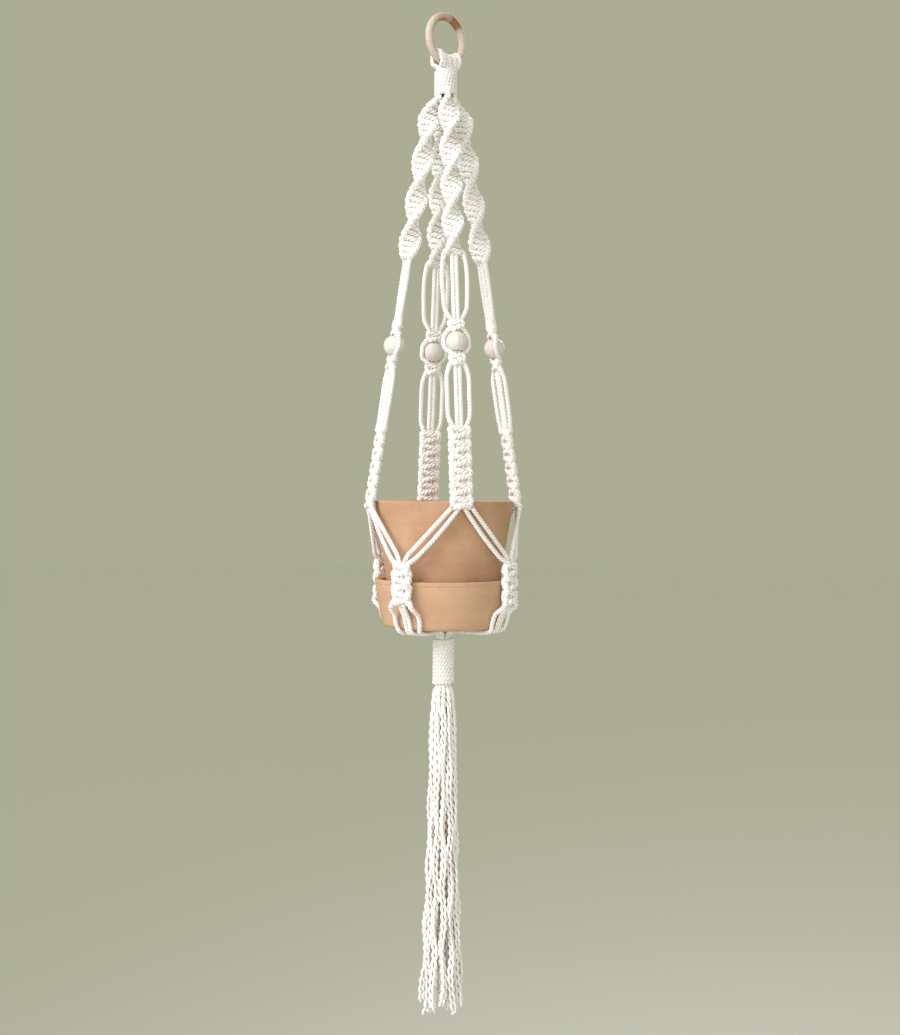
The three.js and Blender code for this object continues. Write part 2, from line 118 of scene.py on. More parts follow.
SPIRAL_TOP = top_of("spiral_sennit_front")
SPIRAL_END = foot_of("spiral_sennit_front")
BEAD_RADIUS = 12.5
BEAD_BORE = 5.4  # radius
BEAD_Z = middle_of("bead_front")
BEAD_REACH = reach_of("bead_front")
FLAT_TOP = top_of("flat_sennit_front")
FLAT_END = foot_of("flat_sennit_front")
POT_RIM_Z = top_of("pot")
POT_FOOT_Z = foot_of("pot")
POT_RIM = 83.0
POT_FOOT = 61.5
SAUCER_RIM_Z = top_of("saucer")
SAUCER_FOOT_Z = foot_of("saucer")
SAUCER_RIM = 83.5
SAUCER_FOOT = 73.5
SAUCER_FOOT_ROUNDING = 7.0
NET_TOP = top_of("net_knot_front_right")
NET_END = foot_of("net_knot_front_right")
NET_REACH = 91.1  # from the axis to the middle of a net knot
BASE_Z = SAUCER_FOOT_Z - CORD / 2 - 0.5
WRAP_TOP = top_of("bottom_wrap")
WRAP_END = foot_of("bottom_wrap")
TASSEL_TOP = WRAP_END - 4.6
TIP_Z = foot_of("tassel_strand_03")
FLAT_REACH = 91.0  # from the axis to the foot of an arm
# Heights on an arm and how far from the axis it is there.
ARM_STATIONS = (
    (SPIRAL_TOP, NECK_RADIUS),
    (SPIRAL_TOP - SHOULDER_DROP, SHOULDER_RADIUS),
    (BEAD_Z, BEAD_REACH),
    (FLAT_END, FLAT_REACH),
)


# ---- Camera, lights and stage ----
def make_camera():
    data = bpy.data.cameras.new("camera")
    data.sensor_width = 36
    data.lens = CAMERA_LENS
    data.shift_x = SHIFT_X
    data.shift_y = SHIFT_Y
    data.clip_start = 0.05
    data.clip_end = 50
    camera = bpy.data.objects.new("camera", data)
    bpy.context.scene.collection.objects.link(camera)
    azimuth = math.radians(CAMERA_AZIMUTH)
    camera.location = (
        CAMERA_DISTANCE * MM * math.sin(azimuth),
        -CAMERA_DISTANCE * MM * math.cos(azimuth),
        CAMERA_HEIGHT * MM,
    )
    camera.rotation_euler = (math.radians(90), math.radians(CAMERA_ROLL), azimuth)
    bpy.context.scene.camera = camera


def area_light(name, azimuth, elevation, distance, size, power, colour):
    """A square lamp that looks at the middle of the planter from the given direction."""
    data = bpy.data.lights.new(name, "AREA")
    data.size = size
    data.spread = math.radians(75)
    data.energy = power
    data.color = colour
    lamp = bpy.data.objects.new(name, data)
    bpy.context.scene.collection.objects.link(lamp)
    around = math.radians(azimuth)
    up = math.radians(elevation)
    back = Vector(
        (math.sin(around) * math.cos(up), -math.cos(around) * math.cos(up), math.sin(up))
    )
    lamp.location = Vector((0, 0, -0.6)) + back * distance
    lamp.rotation_mode = "QUATERNION"
    lamp.rotation_quaternion = back.to_track_quat("Z", "Y")


def make_lights():
    white = (1.0, 0.965, 1.03)
    area_light("key", CAMERA_AZIMUTH - 52, 30, 2.6, 2.2, 19, white)
    area_light("fill", CAMERA_AZIMUTH + 5, 8, 3.2, 2.4, 10, white)
    area_light("back", CAMERA_AZIMUTH + 162, 30, 3.0, 2.2, 20, white)


def make_world():
    world = bpy.data.worlds.new("studio")
    world.use_nodes = True
    background = world.node_tree.nodes["Background"]
    background.inputs["Color"].default_value = (0.407, 0.417, 0.3, 1)
    background.inputs["Strength"].default_value = 1.0
    bpy.context.scene.world = world
    bpy.context.scene.view_settings.view_transform = "Standard"


def make_floor():
    """A plain pale floor well below the planter, which hangs at the height of a window."""
    radius = 30.0
    sides = 64
    height = TIP_Z * MM - 1.1
    ring = [
        (radius * math.cos(TAU * i / sides), radius * math.sin(TAU * i / sides), height)
        for i in range(sides)
    ]
    mesh = bpy.data.meshes.new("floor")
    mesh.from_pydata(ring, [], [tuple(range(sides))])
    floor = bpy.data.objects.new("floor", mesh)
    bpy.context.scene.collection.objects.link(floor)
    paint = Nodes("floor_paint")
    paint.shader(1.0, Specular_IOR_Level=0.0)
    paint.colour((0.98, 0.98, 0.98, 1))
    mesh.materials.append(paint.material)


# ---- Materials ----
class Nodes:
    """A material that is built up by short calls."""

    def __init__(self, name):
        self.material = bpy.data.materials.new(name)
        self.material.use_nodes = True
        self.tree = self.material.node_tree
        self.principled = self.tree.nodes["Principled BSDF"]

    def shader(self, roughness, **sockets):
        self.principled.inputs["Roughness"].default_value = roughness
        for name, value in sockets.items():
            self.principled.inputs[name.replace("_", " ")].default_value = value

    def colour(self, rgba):
        self.principled.inputs["Base Color"].default_value = rgba

    def link(self, source, target):
        self.tree.links.new(source, target)

    def add(self, kind, inputs=None, **settings):
        node = self.tree.nodes.new(kind)
        for name, value in settings.items():
            setattr(node, name, value)
        for name, value in (inputs or {}).items():
            if isinstance(value, bpy.types.NodeSocket):
                self.link(value, node.inputs[name])
            else:
                node.inputs[name].default_value = value
        return node

    def place(self, scale=(1, 1, 1), uv=None):
        """Object coordinates, or those of a UV map, scaled."""
        if uv:
            source = self.add("ShaderNodeUVMap", uv_map=uv).outputs["UV"]
        else:
            source = self.add("ShaderNodeTexCoord").outputs["Object"]
        return self.add("ShaderNodeMapping", {"Vector": source, "Scale": scale}).outputs[0]

    def noise(self, vector, scale, detail=3, roughness=0.5):
        return self.add(
            "ShaderNodeTexNoise",
            {"Vector": vector, "Scale": scale, "Detail": detail, "Roughness": roughness},
        ).outputs["Fac"]

    def between(self, value, low, high, to_low=0.0, to_high=1.0):
        return self.add(
            "ShaderNodeMapRange",
            {
                "Value": value,
                "From Min": low,
                "From Max": high,
                "To Min": to_low,
                "To Max": to_high,
            },
        ).outputs["Result"]

    def mix(self, factor, first, second):
        node = self.add("ShaderNodeMix", data_type="RGBA")
        for index, value in ((0, factor), (6, first), (7, second)):
            if isinstance(value, bpy.types.NodeSocket):
                self.link(value, node.inputs[index])
            else:
                node.inputs[index].default_value = value
        return node.outputs[2]

    def calculate(self, operation, first, second=0.5):
        return self.add("ShaderNodeMath", {0: first, 1: second}, operation=operation).outputs[0]

    def bump(self, height, strength, distance):
        bump = self.add(
            "ShaderNodeBump", {"Height": height, "Strength": strength, "Distance": distance}
        )
        self.link(bump.outputs["Normal"], self.principled.inputs["Normal"])


def cotton(name, laid):
    """Natural cotton: fibres along the plies, painted shade in the grooves between laid plies, and painted
    warm shade deep between the cords."""
    nodes = Nodes(name)
    fibre_place = nodes.place(scale=(0.055, 26, 1), uv="cord")
    fibres = nodes.noise(fibre_place, 5.0, detail=3, roughness=0.65)
    tone = nodes.noise(nodes.place(), 34.0, detail=2)
    open_air = nodes.add(
        "ShaderNodeAmbientOcclusion", {"Distance": 0.011}, samples=6
    ).outputs["AO"]
    cream = nodes.mix(nodes.between(tone, 0.35, 0.65), (0.92, 0.91, 0.89, 1), (0.965, 0.96, 0.95, 1))
    cotton_tone = nodes.mix(nodes.between(fibres, 0.34, 0.56), (0.87, 0.85, 0.81, 1), cream)
    if laid:
        around = nodes.add("ShaderNodeUVMap", uv_map="cord").outputs["UV"]
        share = nodes.add("ShaderNodeSeparateXYZ", {0: around}).outputs[1]
        from_groove = nodes.calculate("PINGPONG", share, 1 / 6)
        crest = nodes.between(from_groove, 0.0, 0.055)
        # Painted shade: a darker tan line along each groove between the plies.
        cotton_tone = nodes.mix(crest, (0.72, 0.66, 0.585, 1), cotton_tone)
    # Painted warm shade: the cotton turns tan where ambient occlusion finds it closed in between cords.
    depth = nodes.between(open_air, 0.06, 0.4)
    cotton_with_painted_shade = nodes.mix(depth, (0.78, 0.58, 0.4, 1), cotton_tone)
    nodes.link(cotton_with_painted_shade, nodes.principled.inputs["Base Color"])
    nodes.shader(0.92, Sheen_Weight=0.25, Sheen_Roughness=0.6, Specular_IOR_Level=0.2)
    nodes.bump(fibres, 0.55, 0.0006)
    return nodes.material


def beech():
    """Pale beech of the hanging ring, with its glued joint and a darker stretch of painted shade beside it.
    """
    nodes = Nodes("beech")
    position = nodes.add("ShaderNodeTexCoord").outputs["Object"]
    split = nodes.add("ShaderNodeSeparateXYZ", {0: position}).outputs
    centre_z = middle_of("hanging_ring") * MM
    height = nodes.calculate("SUBTRACT", split[2], centre_z)
    angle = nodes.calculate("ARCTAN2", height, split[0])
    depth = nodes.calculate("MULTIPLY", split[1], 60.0)
    along = nodes.calculate("MULTIPLY", angle, 1.6)
    radial = nodes.add("ShaderNodeVectorMath", {0: position}, operation="LENGTH").outputs["Value"]
    across = nodes.calculate("MULTIPLY", radial, 90.0)
    grain_place = nodes.add("ShaderNodeCombineXYZ", {0: along, 1: depth, 2: across}).outputs[0]
    grain = nodes.noise(grain_place, 5.0, detail=5, roughness=0.6)
    flecks = nodes.noise(grain_place, 22.0, detail=2)
    wood = nodes.mix(nodes.between(grain, 0.3, 0.7), (0.56, 0.45, 0.37, 1), (0.67, 0.585, 0.52, 1))
    wood = nodes.mix(nodes.between(flecks, 0.62, 0.72, 0.0, 0.35), wood, (0.5, 0.33, 0.21, 1))
    tan_share = nodes.calculate("MULTIPLY", stretch(nodes, angle, 1.45, 2.2, 0.25), 0.5)
    wood = nodes.mix(tan_share, wood, (0.5, 0.33, 0.22, 1))
    # Painted shade: a brown band on the inner face of the ring's left half, the side turned away from the
    # key light.
    flat_place = nodes.add("ShaderNodeCombineXYZ", {0: split[0], 1: 0.0, 2: height}).outputs[0]
    reach = nodes.add("ShaderNodeVectorMath", {0: flat_place}, operation="LENGTH").outputs["Value"]
    inside = nodes.between(reach, 0.0248, 0.0268, 0.85, 0.0)
    left_half = nodes.between(split[0], -0.002, 0.006, 1.0, 0.0)
    wood = nodes.mix(nodes.calculate("MULTIPLY", inside, left_half), wood, (0.4, 0.2, 0.09, 1))
    # Painted shade: a dark brown stretch of the ring beside its joint.
    painted_shade_stretch = stretch(nodes, angle, 0.72, 1.4, 0.12)
    wood = nodes.mix(painted_shade_stretch, wood, (0.33, 0.15, 0.045, 1))
    seam_share = stretch(nodes, angle, 1.38, 1.52, 0.04)
    wood = nodes.mix(seam_share, wood, (0.4, 0.36, 0.34, 1))
    nodes.link(wood, nodes.principled.inputs["Base Color"])
    nodes.shader(0.6, Specular_IOR_Level=0.25)
    nodes.bump(grain, 0.2, 0.0004)
    return nodes.material


def stretch(nodes, angle, start, end, edge):
    """1 between two angles and 0 outside them, with soft edges."""
    rise = nodes.between(angle, start - edge, start + edge)
    fall = nodes.between(angle, end - edge, end + edge, 1.0, 0.0)
    return nodes.calculate("MULTIPLY", rise, fall)


def bead_wood():
    """Pale turned wood with fine end-grain lines."""
    nodes = Nodes("bead_wood")
    grain = nodes.noise(nodes.place(scale=(5, 5, 0.6)), 80.0, detail=4, roughness=0.6)
    cloud = nodes.noise(nodes.place(), 45.0, detail=2)
    wood = nodes.mix(nodes.between(grain, 0.32, 0.66), (0.6, 0.54, 0.485, 1), (0.76, 0.72, 0.675, 1))
    wood = nodes.mix(nodes.between(cloud, 0.35, 0.65, 0.0, 0.3), wood, (0.82, 0.785, 0.75, 1))
    nodes.link(wood, nodes.principled.inputs["Base Color"])
    nodes.shader(0.5, Specular_IOR_Level=0.35)
    nodes.bump(grain, 0.15, 0.0003)
    return nodes.material


def terracotta(name, light, dark):
    """Fired clay: cloudy tone, a bloom of paler lime and fine grit."""
    nodes = Nodes(name)
    clouds = nodes.noise(nodes.place(), 17.0, detail=4, roughness=0.55)
    bands = nodes.noise(nodes.place(scale=(1, 1, 9)), 9.0, detail=3)
    grit = nodes.noise(nodes.place(), 900.0, detail=2)
    speck = nodes.noise(nodes.place(), 260.0, detail=2)
    clay = nodes.mix(nodes.between(clouds, 0.3, 0.7), dark, light)
    clay = nodes.mix(nodes.between(bands, 0.5, 0.75, 0.0, 0.35), clay, (0.62, 0.4, 0.27, 1))
    clay = nodes.mix(nodes.between(speck, 0.62, 0.75, 0.0, 0.3), clay, (0.33, 0.15, 0.075, 1))
    nodes.link(clay, nodes.principled.inputs["Base Color"])
    rough = nodes.between(clouds, 0.3, 0.7, 0.72, 0.9)
    nodes.link(rough, nodes.principled.inputs["Roughness"])
    nodes.shader(0.8, Specular_IOR_Level=0.25)
    height = nodes.calculate("ADD", grit, nodes.calculate("MULTIPLY", bands, 2.5))
    nodes.bump(height, 0.3, 0.0005)
    return nodes.material


# ---- Meshes ----
def finished(name, points, faces, material, uvs=None):
    """A smooth-shaded object from points in millimetres, with a UV pair for each face corner."""
    mesh = bpy.data.meshes.new(name)
    mesh.from_pydata((np.asarray(points) * MM).tolist(), [], faces)
    mesh.polygons.foreach_set("use_smooth", [True] * len(mesh.polygons))
    if uvs is not None:
        layer = mesh.uv_layers.new(name="cord")
        layer.data.foreach_set("uv", np.asarray(uvs, np.float32).ravel())
    mesh.materials.append(material)
    mesh.update()
    thing = bpy.data.objects.new(name, mesh)
    bpy.context.scene.collection.objects.link(thing)
    return thing


def smooth(points, step=STEP):
    """Points a step apart on a smooth curve through the given ones."""
    given = np.asarray(points, float)
    gaps = np.diff(given, axis=0)
    spans = np.sqrt(np.maximum(np.linalg.norm(gaps, axis=1), 1e-6))[:, None]
    slopes = gaps / spans
    inner = (slopes[:-1] * spans[1:] + slopes[1:] * spans[:-1]) / (spans[:-1] + spans[1:])
    tangents = np.vstack([slopes[:1], inner, slopes[-1:]])
    t = np.linspace(0, 1, 12, endpoint=False)[:, None]
    pieces = [
        (2 * t**3 - 3 * t**2 + 1) * given[i]
        + (t**3 - 2 * t**2 + t) * spans[i] * tangents[i]
        + (3 * t**2 - 2 * t**3) * given[i + 1]
        + (t**3 - t**2) * spans[i] * tangents[i + 1]
        for i in range(len(given) - 1)
    ]
    return evenly(np.vstack(pieces + [given[-1:]]), step)


def lengths_along(path):
    return np.concatenate([[0], np.cumsum(np.linalg.norm(np.diff(path, axis=0), axis=1))])


def evenly(path, step):
    along = lengths_along(path)
    count = max(3, round(along[-1] / step) + 1)
    at = np.linspace(0, along[-1], count)
    return np.column_stack([np.interp(at, along, path[:, k]) for k in range(3)])


def frames_along(path):
    """Two directions across the path at each of its points, carried along it without twisting."""
    tangents = np.gradient(path, axis=0)
    tangents /= np.linalg.norm(tangents, axis=1)[:, None]
    side = np.cross(tangents[0], (0.31, 0.52, 0.79))
    normals = np.zeros_like(path)
    for i, tangent in enumerate(tangents):
        side = side - tangent * (side @ tangent)
        side = side / math.sqrt(side @ side)
        normals[i] = side
    return normals, np.cross(tangents, normals)


# Radius of a three-ply cord round its outline, from groove to groove, as a share of the largest.
PLY_OUTLINE = (0.66, 0.87, 0.98, 1.0, 0.98, 0.87) * 3


def rope_rings(path, diameter, start=0.0, lay=LAY):
    """The rings of a three-ply cord laid left-handed, and how far along the cord each one is. The diameter
    is one value or a value for each point of the path."""
    along = lengths_along(path)
    normals, binormals = frames_along(path)
    radii = np.broadcast_to(np.asarray(diameter) / 2, along.shape)
    outline = radii[:, None] * np.array(PLY_OUTLINE)
    angles = np.arange(len(PLY_OUTLINE)) * TAU / len(PLY_OUTLINE)
    turn = angles[None, :] - TAU * along[:, None] / lay + start
    rings = (
        path[:, None, :]
        + (outline * np.cos(turn))[:, :, None] * normals[:, None, :]
        + (outline * np.sin(turn))[:, :, None] * binormals[:, None, :]
    )
    return rings, along


class Cords:
    """Gathers the rings of several cords into one mesh."""

    def __init__(self):
        self.points = []
        self.faces = []
        self.uvs = []
        self.count = 0

    def rings(self, rings, along):
        rows, sides = rings.shape[:2]
        base = self.count
        ends = np.array([rings[0].mean(0), rings[-1].mean(0)])
        self.points.append(np.vstack([rings.reshape(-1, 3), ends]))
        i, j = np.meshgrid(np.arange(rows - 1), np.arange(sides), indexing="ij")
        after = (j + 1) % sides
        quads = np.stack(
            [i * sides + j, i * sides + after, (i + 1) * sides + after, (i + 1) * sides + j], -1
        )
        self.faces += (quads.reshape(-1, 4) + base).tolist()
        around = np.stack([j, j + 1, j + 1, j], -1) / sides
        down = np.stack([along[i], along[i], along[i + 1], along[i + 1]], -1)
        self.uvs.append(np.stack([down, around], -1).reshape(-1, 2))
        first = base + rows * sides
        tail = base + (rows - 1) * sides
        for k in range(sides):
            after_k = (k + 1) % sides
            self.faces.append([base + after_k, base + k, first])
            self.faces.append([tail + k, tail + after_k, first + 1])
        self.uvs.append(np.zeros((6 * sides, 2)))
        self.count += rows * sides + 2

    def cord(self, path, diameter=CORD, start=0.0, lay=LAY):
        self.rings(*rope_rings(path, diameter, start, lay))

    def made(self, name, material="cotton_cord"):
        points = np.vstack(self.points)
        return finished(name, points, self.faces, MATERIALS[material], np.vstack(self.uvs))


def turned(name, profile, material, segments=96):
    """A body of revolution about Z from a profile of (radius, z), which either closes on itself or starts
    and ends on the axis."""
    capped = profile[0][0] == 0
    turning = profile[1:-1] if capped else profile
    rows = len(turning)
    points = [
        (radius * math.cos(TAU * k / segments), radius * math.sin(TAU * k / segments), z)
        for k in range(segments)
        for radius, z in turning
    ]
    faces = []
    for k in range(segments):
        here = k * rows
        there = (k + 1) % segments * rows
        for i in range(rows - 1 if capped else rows):
            after = (i + 1) % rows
            faces.append((here + i, there + i, there + after, here + after))
        if capped:
            bottom = segments * rows
            faces.append((bottom, there, here))
            faces.append((here + rows - 1, there + rows - 1, bottom + 1))
    if capped:
        points += [(0, 0, profile[0][1]), (0, 0, profile[-1][1])]
    return finished(name, points, faces, material)


def rounded(corners, per_corner=5):
    """A closed outline with its corners rounded. Each corner is (radius, z, rounding)."""
    outline = []
    count = len(corners)
    for i, (x, z, rounding) in enumerate(corners):
        here = np.array((x, z), float)
        if rounding == 0:
            outline.append(tuple(here))
            continue
        before = np.array(corners[i - 1][:2], float)
        after = np.array(corners[(i + 1) % count][:2], float)
        start = here + (before - here) * rounding / np.linalg.norm(before - here)
        end = here + (after - here) * rounding / np.linalg.norm(after - here)
        for k in range(per_corner + 1):
            t = k / per_corner
            outline.append(tuple((1 - t) ** 2 * start + 2 * t * (1 - t) * here + t**2 * end))
    return outline


# ---- Places ----
def mix(a, b, t):
    return a + (b - a) * t


def arm_reach(z):
    heights = [-station[0] for station in ARM_STATIONS]
    return float(np.interp(-z, heights, [station[1] for station in ARM_STATIONS]))


def turned_about(points, degrees):
    """Points turned about the hanger's axis."""
    angle = math.radians(degrees)
    points = np.asarray(points, float)
    x = points[:, 0] * math.cos(angle) - points[:, 1] * math.sin(angle)
    y = points[:, 0] * math.sin(angle) + points[:, 1] * math.cos(angle)
    return np.column_stack([x, y, points[:, 2]])


def on_arm(local, place):
    """Points (u, v, z) of an arm, turned with its spiral and narrowed at the top wrap, in the row frame."""
    local = np.asarray(local, float)
    u, v, z = local[:, 0], local[:, 1], local[:, 2]
    twist = math.pi * np.maximum(z - SPIRAL_END, 0) / HALF_TURN[place]
    depths = (-LOWER_KNOT, 8 - LOWER_END, -10 - FLAT_TOP, 12 - FLAT_TOP)
    twist += math.radians(LOOSE_TURN[place]) * np.interp(-z, depths, (0, 1, 1, 0))
    room = np.clip(NECK_ROOM + (SPIRAL_TOP - z) / WIDENING, LEAST_ROOM, 1)
    side = (u * np.cos(twist) + v * np.sin(twist)) * room
    out = (v * np.cos(twist) - u * np.sin(twist)) * room
    reach = np.array([arm_reach(h) for h in z]) + out
    turn = ARM_TURN + 90 * ARMS.index(place)
    return turned_about(np.column_stack([side, -reach, z]), turn)


def on_corner(local, place):
    """Points (u, v, z) of a net corner in the row frame."""
    local = np.asarray(local, float)
    turn = ARM_TURN + 45 + 90 * CORNERS.index(place)
    return turned_about(np.column_stack([local[:, 0], -(NET_REACH + local[:, 1]), local[:, 2]]), turn)


def pot_reach(z):
    return mix(POT_FOOT, POT_RIM, (z - POT_FOOT_Z) / (POT_RIM_Z - POT_FOOT_Z))


def saucer_reach(z):
    return mix(SAUCER_FOOT, SAUCER_RIM, (z - SAUCER_FOOT_Z) / (SAUCER_RIM_Z - SAUCER_FOOT_Z))


# ---- Knots ----
class HalfKnot:
    """One half knot: its height, which side's cord crosses the front (1 right, -1 left), half its width
    and half its thickness to the cords' centre lines, and the loose route (u, v, z) that leads to it."""

    def __init__(self, z, front_from, width, thick, route=()):
        self.z = z
        self.front_from = front_from
        self.width = width
        self.thick = thick
        self.route = route


def working_cord(side, knots, lead_in, lead_out, rise=2.4):
    """The path (u, v, z) of the cord that starts on that side. In each half knot a cord leaves its side low,
    crosses the fillers, and arrives inside the other cord, above that cord's own turn."""
    points = [(side * u, v, z) for u, v, z in lead_in]
    for i, knot in enumerate(knots):
        face = 1 if side == knot.front_from else -1
        w, t, z = knot.width, knot.thick, knot.z
        points += [(side * u, v, h) for u, v, h in knot.route]
        points.append((side * 0.98 * w, -face * 0.75 * t, z + rise))
        points.append((side * 1.02 * w, -face * 0.05 * t, z - 0.55 * rise))
        points.append((side * 0.66 * w, face * 0.85 * t, z - 0.75 * rise))
        points.append((0, face * 1.05 * t, z))
        points.append((-side * 0.62 * w, face * 0.8 * t, z + 0.6 * rise))
        points.append((-side * 0.93 * w, face * 0.12 * t, z + rise))
        side = -side
        loose_next = i + 1 == len(knots) or len(knots[i + 1].route) > 0
        if loose_next:
            points.append((side * 1.16 * w, 0, z + 0.1 * rise))
        else:
            following = knots[i + 1]
            next_face = 1 if side == following.front_from else -1
            drop = z - following.z
            points.append((side * 1.2 * w, -face * 0.2 * t, z + 0.12 * drop))
            points.append((side * 1.16 * w, -next_face * 0.45 * t, z - 0.36 * drop))
    return points + [(side * u, v, z) for u, v, z in lead_out]


def half_knots(first_z, last_z, count, width, thick, fronts):
    return [
        HalfKnot(mix(first_z, last_z, i / (count - 1)), fronts[i % len(fronts)], width, thick)
        for i in range(count)
    ]


# ---- Ring, loops and wraps ----
def make_ring():
    centre_z = middle_of("hanging_ring")
    around, sides = 128, 28
    points = []
    for i in range(around):
        a = TAU * i / around
        for k in range(sides):
            b = TAU * k / sides
            reach = RING_REACH + RING_TUBE * math.cos(b)
            points.append(
                (reach * math.cos(a), RING_TUBE * math.sin(b), centre_z + reach * math.sin(a))
            )
    faces = []
    for i in range(around):
        after = (i + 1) % around
        for k in range(sides):
            beside = (k + 1) % sides
            faces.append(
                (i * sides + k, i * sides + beside, after * sides + beside, after * sides + k)
            )
    ring = finished("wooden_ring", points, faces, MATERIALS["beech"])
    settle(ring, "ring", "beech", "hanging_ring")


def settle(piece, body, slot, *nodes):
    """The piece rides on a body and stands in for the nodes. The slot is not used."""
    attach(piece, body)
    if nodes:
        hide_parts(*nodes)


def make_loops():
    """Eight cords side by side over the ring, whose legs draw together into the top wrap."""
    cords = Cords()
    count = 8
    pitch = 4.25
    around = RING_TUBE + CORD / 2 - 0.1
    centre_z = middle_of("hanging_ring")
    wrap_top = top_of("top_wrap")
    for i in range(count):
        x = (i - (count - 1) / 2) * pitch
        slant = 0.9 * math.sin(2.1 * i)
        tube_z = centre_z - math.sqrt(RING_REACH**2 - x**2)
        lift = 0.9 * (i % 2)
        right = [
            (x + slant, around + lift, tube_z + 0.5),
            (0.92 * x + slant, around + 0.7, tube_z - 7),
            (0.74 * x, math.sqrt(max(88 - (0.74 * x) ** 2, 9)) - 0.6, wrap_top),
            (0.66 * x, math.sqrt(max(42 - (0.66 * x) ** 2, 3)), wrap_top - 8),
        ]
        shoulder = (x + 0.6 * slant, 0.72 * around + lift / 2, tube_z + 0.74 * around + lift / 2)
        crown = (x, 0, tube_z + around + lift)
        leg = [shoulder] + right
        far_leg = [(px - 1.2 * slant * (h > wrap_top), -py, h) for px, py, h in leg]
        cords.cord(smooth(leg[::-1] + [crown] + far_leg), start=0.7 * i)
    piece = cords.made("folded_cords")
    settle(piece, "hanger", "cotton_cord", "ring_loops", "top_strands")


def wrap_path(top, end, outer, turns):
    """A cord wound round the strands from its tucked lower end to its tucked upper end."""
    radius = outer - WRAP_CORD / 2
    inset = WRAP_CORD / 2
    steps = int(turns * 20)
    points = [(radius - 5, 0, end + inset + 6), (radius - 2.5, -2, end + inset + 1)]
    for i in range(steps + 1):
        share = i / steps
        angle = TAU * turns * share
        wobble = 0.12 * math.sin(3.7 * angle)
        points.append(
            (
                (radius + wobble) * math.cos(angle),
                (radius + wobble) * math.sin(angle),
                mix(end + inset, top - inset, share),
            )
        )
    last = TAU * turns + 0.5
    tucked = radius - 4
    points.append((tucked * math.cos(last), tucked * math.sin(last), top - inset - 2))
    return smooth(points)


def make_wraps():
    for name, node, body, turns in (
        ("top_gathering_wrap", "top_wrap", "hanger", 7),
        ("bottom_gathering_wrap", "bottom_wrap", "gather", 12.2),
    ):
        cords = Cords()
        outer = (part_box(node)[1].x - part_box(node)[0].x) / 2 / MM
        cords.cord(wrap_path(top_of(node), foot_of(node), outer, turns), WRAP_CORD, lay=WRAP_LAY)
        settle(cords.made(name), body, "cotton_cord", node)


# ---- Arms ----
LOOSE_TOP = (
    (13.4, 0, SPIRAL_END - 6),
    (15.0, 0, SPIRAL_END - 21),
    (14.6, 0, SPIRAL_END - 46),
    (12.6, 0, SPIRAL_END - 66),
)
UPPER_KNOT = SPIRAL_END - 77.2
LOWER_KNOT = BEAD_Z - 12.7
CAGE = ((14.3, -1.5, BEAD_Z + 7), (15.0, -3.0, BEAD_Z), (14.3, -1.5, BEAD_Z - 7))
LOWER_END = LOWER_KNOT - 15
LOOSE_FOOT = (
    (12.4, 0, LOWER_END - 9),
    (13.2, 0, mix(LOWER_END, FLAT_TOP, 0.5)),
    (12.4, 0, FLAT_TOP + 9),
)


# Heights along an arm and how thick its working cords are there.
ARM_WIDTHS = (
    (SPIRAL_TOP - 4, IN_SMALL_KNOT),
    (SPIRAL_TOP - 12, IN_SPIRAL),
    (SPIRAL_END + 2, IN_SPIRAL),
    (SPIRAL_END - 8, CORD),
    (UPPER_KNOT + 2, CORD),
    (UPPER_KNOT - 3, IN_SMALL_KNOT),
    (UPPER_KNOT - 12, IN_SMALL_KNOT),
    (BEAD_Z + 8, CORD),
    (BEAD_Z - 8, CORD),
    (LOWER_KNOT - 3, IN_SMALL_KNOT),
    (LOWER_END + 2, IN_SMALL_KNOT),
    (LOWER_END - 8, CORD),
    (FLAT_TOP + 6, CORD),
    (FLAT_TOP - 3, IN_FLAT),
)
FILLER_WIDTHS = (
    (SPIRAL_TOP - 4, CORD),
    (SPIRAL_TOP - 12, IN_SPIRAL),
    (SPIRAL_END + 4, IN_SPIRAL),
    (SPIRAL_END - 4, CORD),
)


def arm_knots():
    """Every half knot of an arm, from the wrap down to the pot's rim."""
    spiral = half_knots(SPIRAL_TOP - 4, SPIRAL_END + 4.4, SPIRAL_KNOTS, 8.6, 3.2, (1,))
    over = HalfKnot(UPPER_KNOT - 4.2, 1, 6.2, 3.2, LOOSE_TOP)
    under = HalfKnot(UPPER_KNOT - 10.4, -1, 6.2, 3.2)
    low_over = HalfKnot(LOWER_KNOT - 4.6, 1, 6.2, 3.3, CAGE)
    low_under = HalfKnot(LOWER_KNOT - 11.2, -1, 6.2, 3.3)
    flat = []
    pitch = (FLAT_TOP - FLAT_END) / 6
    for k in range(6):
        top = FLAT_TOP - k * pitch
        flat.append(HalfKnot(top - 4.7, 1, 8.9, 2.9, LOOSE_FOOT if k == 0 else ()))
        flat.append(HalfKnot(top - 11.7, -1, 8.9, 2.9))
    return spiral + [over, under, low_over, low_under] + flat


def split_rows(path, heights):
    """The rows of a path that goes down, as slices that meet at the given heights."""
    cuts = [0] + [int(np.argmax(path[:, 2] < h)) for h in heights] + [len(path) - 1]
    return [slice(a, b + 1) for a, b in zip(cuts, cuts[1:])]


